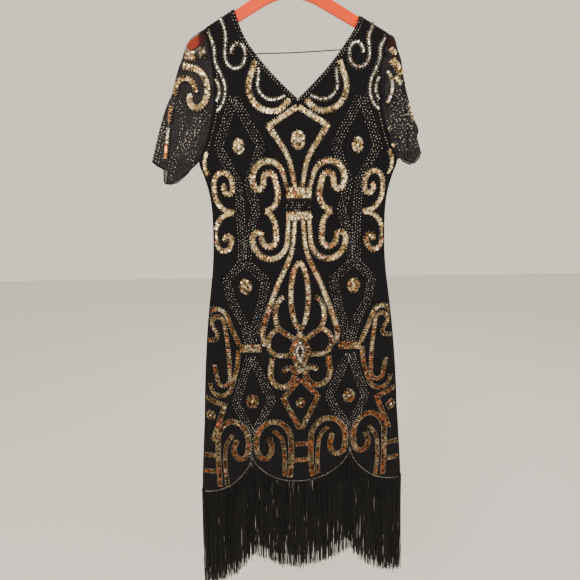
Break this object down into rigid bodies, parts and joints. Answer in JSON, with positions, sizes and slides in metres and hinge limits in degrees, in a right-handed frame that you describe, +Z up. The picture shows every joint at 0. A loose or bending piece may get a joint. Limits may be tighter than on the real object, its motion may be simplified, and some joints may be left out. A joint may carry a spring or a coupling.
{
  "type": "sequined flapper dress on a hanger",
  "caption": "V-neck flapper dress with sheer short sleeves, scroll sequin work and a scalloped hem with long fringe, hanging flat on a plastic hanger.",
  "frame": {"origin": "the point at the top of the inside of the hanger's hook, where a rail carries it", "axes": "+Z up, -Y the front of the dress, +X the wearer's left; a rail through the hook runs along Y"},
  "size_m": [0.5624, 0.0428, 1.4727],
  "materials": {
    "dress_mesh": "black knitted mesh over an opaque black knit, matte with a faint sheen",
    "sleeve_mesh": "sheer black mesh",
    "fringe": "twisted black rayon cords with a soft gloss",
    "strap_elastic": "narrow black woven elastic",
    "sequins": "metallised champagne and rose-gold sequins",
    "beads": "silver-lined seed beads and black bugle beads",
    "hanger_plastic": "smooth moulded orange plastic"
  },
  "bodies": {
    "root": {"dress_front": "dress_mesh", "dress_back": "dress_mesh", "sleeve_right": "sleeve_mesh", "sleeve_left": "sleeve_mesh", "fringe_front": "fringe", "fringe_back": "fringe", "neck_strap": "strap_elastic", "hanger_arms": "hanger_plastic", "hanger_hook": "hanger_plastic"}
  },
  "joints": []
}
